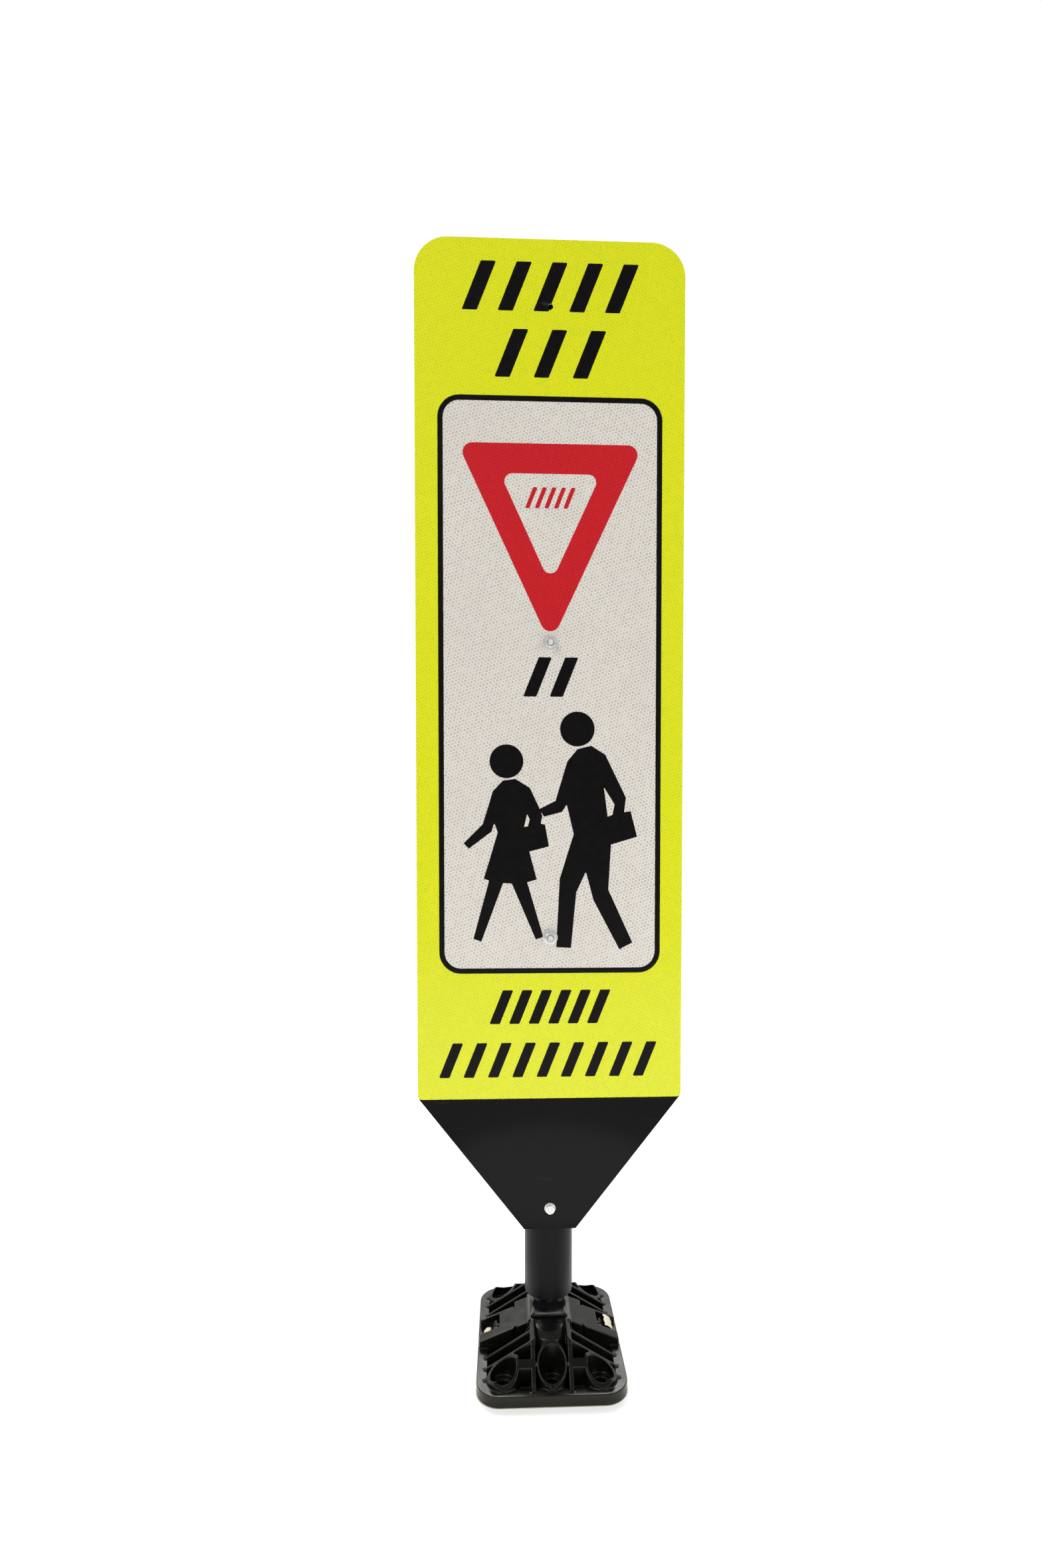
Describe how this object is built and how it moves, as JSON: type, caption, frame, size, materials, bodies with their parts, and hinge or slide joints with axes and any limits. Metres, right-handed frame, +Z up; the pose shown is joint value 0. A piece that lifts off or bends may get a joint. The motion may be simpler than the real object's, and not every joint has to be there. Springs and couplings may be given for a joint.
{
  "type": "in-street crossing sign on a flexible post",
  "caption": "Free-standing crossing sign: a tall reflective panel on a round post that bends at a flexible hinge in a low ribbed road base.",
  "frame": {"origin": "on the road surface under the middle of the base", "axes": "+Z up, the sign faces -Y, +X to the right of someone facing the sign"},
  "size_m": [0.3048, 0.1962, 1.286],
  "materials": {
    "base": "moulded black, glossy, slightly grained",
    "pad": "soft adhesive",
    "liner": "waxed release paper",
    "hinge": "glossy cast urethane",
    "tube": "satin black extrusion",
    "panel": "satin black sheet",
    "face": "fluorescent yellow-green retroreflective sheeting",
    "pin": "black oxide",
    "zinc": "bright zinc plate"
  },
  "bodies": {
    "base": {"release_liner": "liner", "butyl_pad": "pad", "base_plate": "base", "hinge_foot": "hinge"},
    "pin_left": {"t_pin_left": "pin"},
    "pin_right": {"t_pin_right": "pin"},
    "hinge": {"flex_hinge": "hinge"},
    "post": {"hinge_plug": "hinge", "post_tube": "tube", "post_cap": "tube", "sign_panel": "panel", "face_sheeting": "face", "foot_screw": "zinc", "panel_bolt_upper": "zinc", "panel_nut_upper": "zinc", "front_washer_upper": "zinc", "back_washer_upper": "zinc", "panel_bolt_lower": "zinc", "panel_nut_lower": "zinc", "front_washer_lower": "zinc", "back_washer_lower": "zinc"}
  },
  "joints": [
    {"name": "bend_front_back", "type": "hinge", "parent": "base", "child": "hinge", "pos_m": [0, 0, 0.079], "axis": [1, 0, 0], "range_deg": [-90, 90], "stiffness_Nm_per_rad": 150, "deforming": ["flex_hinge"]},
    {"name": "bend_sideways", "type": "hinge", "parent": "hinge", "child": "post", "pos_m": [0, 0, 0.079], "axis": [0, 1, 0], "range_deg": [-73, 73], "stiffness_Nm_per_rad": 150, "deforming": ["flex_hinge"]},
    {"name": "pull_pin_left", "type": "slide", "parent": "base", "child": "pin_left", "axis": [-1, 0, 0], "range_m": [0, 0.045]},
    {"name": "pull_pin_right", "type": "slide", "parent": "base", "child": "pin_right", "axis": [1, 0, 0], "range_m": [0, 0.045]}
  ]
}
